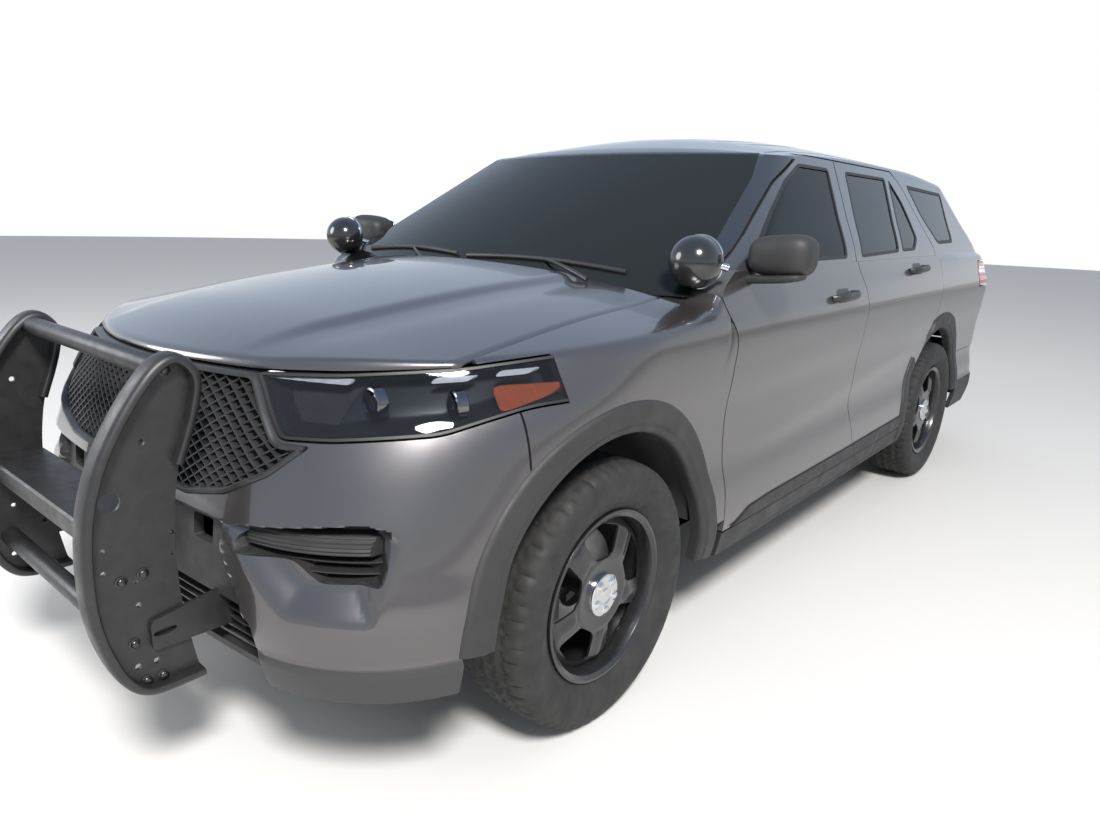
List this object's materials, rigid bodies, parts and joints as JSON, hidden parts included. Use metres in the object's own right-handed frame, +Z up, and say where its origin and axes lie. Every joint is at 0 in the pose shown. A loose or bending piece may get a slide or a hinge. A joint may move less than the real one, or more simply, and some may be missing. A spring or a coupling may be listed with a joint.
{
  "type": "police patrol car",
  "caption": "Patrol wagon with a push bar, pillar spotlights, steel wheels, opening doors, hood and liftgate, and a hollow cabin.",
  "frame": {"origin": "centre of the bounding box at ground level", "axes": "+Z up; the front faces -Y; +X is the driver's (left) side"},
  "size_m": [2.27, 5.289, 1.7648],
  "materials": {
    "grey_paint": "metallic gloss",
    "black_plastic": "grained",
    "grey_plastic": "satin",
    "clear_lens": "clear",
    "red_lens": "gloss",
    "tinted_glass": "tinted",
    "windshield_glass": "clear",
    "black_steel": "satin powder coat",
    "black_gloss": "gloss",
    "tyre_rubber": "matt",
    "bare_steel": "bare",
    "cast_metal": "cast",
    "primer": "sealed underbody",
    "seat_cloth": "woven",
    "cabin_plastic": "grained"
  },
  "bodies": {
    "body": {"floor_panels": "primer", "firewall": "primer", "frame_rails": "primer", "wheelhouses": "primer", "quarter_panels": "grey_paint", "sills": "grey_paint", "pillars": "grey_paint", "roof_rails": "grey_paint", "roof": "grey_paint", "fenders": "grey_paint", "front_bumper": "grey_paint", "grille": "black_plastic", "bumper_inserts": "black_plastic", "headlamps": "clear_lens", "arch_trims": "black_plastic", "windshield": "windshield_glass", "quarter_glass": "tinted_glass", "rear_bumper": "grey_paint", "tail_lamps": "red_lens", "cowl": "black_plastic", "push_bar_uprights": "black_steel", "push_bar_crossbars": "black_steel", "spotlights": "black_gloss", "dashboard": "cabin_plastic", "front_seats": "seat_cloth", "rear_bench": "seat_cloth", "engine_block": "cast_metal", "driveline": "cast_metal", "exhaust": "bare_steel", "fuel_tank": "black_plastic", "front_suspension": "cast_metal", "rear_suspension": "cast_metal"},
    "hood": {"hood": "grey_paint"},
    "door_front_left": {"door_front_left": "grey_paint", "glass_front_left": "tinted_glass", "mirror_left": "black_plastic"},
    "door_front_right": {"door_front_right": "grey_paint", "glass_front_right": "tinted_glass", "mirror_right": "black_plastic"},
    "door_rear_left": {"door_rear_left": "grey_paint", "glass_rear_left": "tinted_glass"},
    "door_rear_right": {"door_rear_right": "grey_paint", "glass_rear_right": "tinted_glass"},
    "liftgate": {"liftgate": "grey_paint", "liftgate_glass": "tinted_glass"},
    "knuckle_left": {"knuckle_front_left": "cast_metal"},
    "knuckle_right": {"knuckle_front_right": "cast_metal"},
    "wheel_front_left": {"rim_front_left": "black_steel", "tyre_front_left": "tyre_rubber"},
    "wheel_front_right": {"rim_front_right": "black_steel", "tyre_front_right": "tyre_rubber"},
    "wheel_rear_left": {"rim_rear_left": "black_steel", "tyre_rear_left": "tyre_rubber"},
    "wheel_rear_right": {"rim_rear_right": "black_steel", "tyre_rear_right": "tyre_rubber"},
    "steering_wheel": {"steering_wheel": "cabin_plastic"}
  },
  "joints": [
    {"name": "steer_left", "type": "hinge", "parent": "body", "child": "knuckle_left", "pos_m": [0.79, -1.5345, 0.381], "axis": [0, 0, 1], "range_deg": [-35, 35]},
    {"name": "steer_right", "type": "hinge", "parent": "body", "child": "knuckle_right", "pos_m": [-0.79, -1.5345, 0.381], "axis": [0, 0, 1], "range_deg": [-35, 35]},
    {"name": "steering_wheel_turn", "type": "hinge", "parent": "body", "child": "steering_wheel", "pos_m": [0.39, -0.5245, 0.985], "axis": [0, 0.9063, 0.4226], "range_deg": [-525, 525]},
    {"name": "spin_front_left", "type": "hinge", "parent": "knuckle_left", "child": "wheel_front_left", "pos_m": [0.851, -1.5345, 0.381], "axis": [1, 0, 0], "continuous": true},
    {"name": "spin_front_right", "type": "hinge", "parent": "knuckle_right", "child": "wheel_front_right", "pos_m": [-0.851, -1.5345, 0.381], "axis": [1, 0, 0], "continuous": true},
    {"name": "spin_rear_left", "type": "hinge", "parent": "body", "child": "wheel_rear_left", "pos_m": [0.851, 1.4905, 0.381], "axis": [1, 0, 0], "continuous": true},
    {"name": "spin_rear_right", "type": "hinge", "parent": "body", "child": "wheel_rear_right", "pos_m": [-0.851, 1.4905, 0.381], "axis": [1, 0, 0], "continuous": true},
    {"name": "door_front_left_hinge", "type": "hinge", "parent": "body", "child": "door_front_left", "pos_m": [1.002, -1.0565, 0.8], "axis": [0, 0, -1], "range_deg": [0, 65]},
    {"name": "door_front_right_hinge", "type": "hinge", "parent": "body", "child": "door_front_right", "pos_m": [-1.002, -1.0565, 0.8], "axis": [0, 0, 1], "range_deg": [0, 65]},
    {"name": "door_rear_left_hinge", "type": "hinge", "parent": "body", "child": "door_rear_left", "pos_m": [1.002, 0.1335, 0.8], "axis": [0, 0, -1], "range_deg": [0, 65]},
    {"name": "door_rear_right_hinge", "type": "hinge", "parent": "body", "child": "door_rear_right", "pos_m": [-1.002, 0.1335, 0.8], "axis": [0, 0, 1], "range_deg": [0, 65]},
    {"name": "hood_hinge", "type": "hinge", "parent": "body", "child": "hood", "pos_m": [0, -1.0565, 1.215], "axis": [-1, 0, 0], "range_deg": [0, 50]},
    {"name": "liftgate_hinge", "type": "hinge", "parent": "body", "child": "liftgate", "pos_m": [0, 2.0375, 1.702], "axis": [1, 0, 0], "range_deg": [0, 80]}
  ],
  "couplings": [
    {"joint": "steer_right", "follows": "steer_left", "ratio": 1},
    {"joint": "steering_wheel_turn", "follows": "steer_left", "ratio": -15}
  ]
}
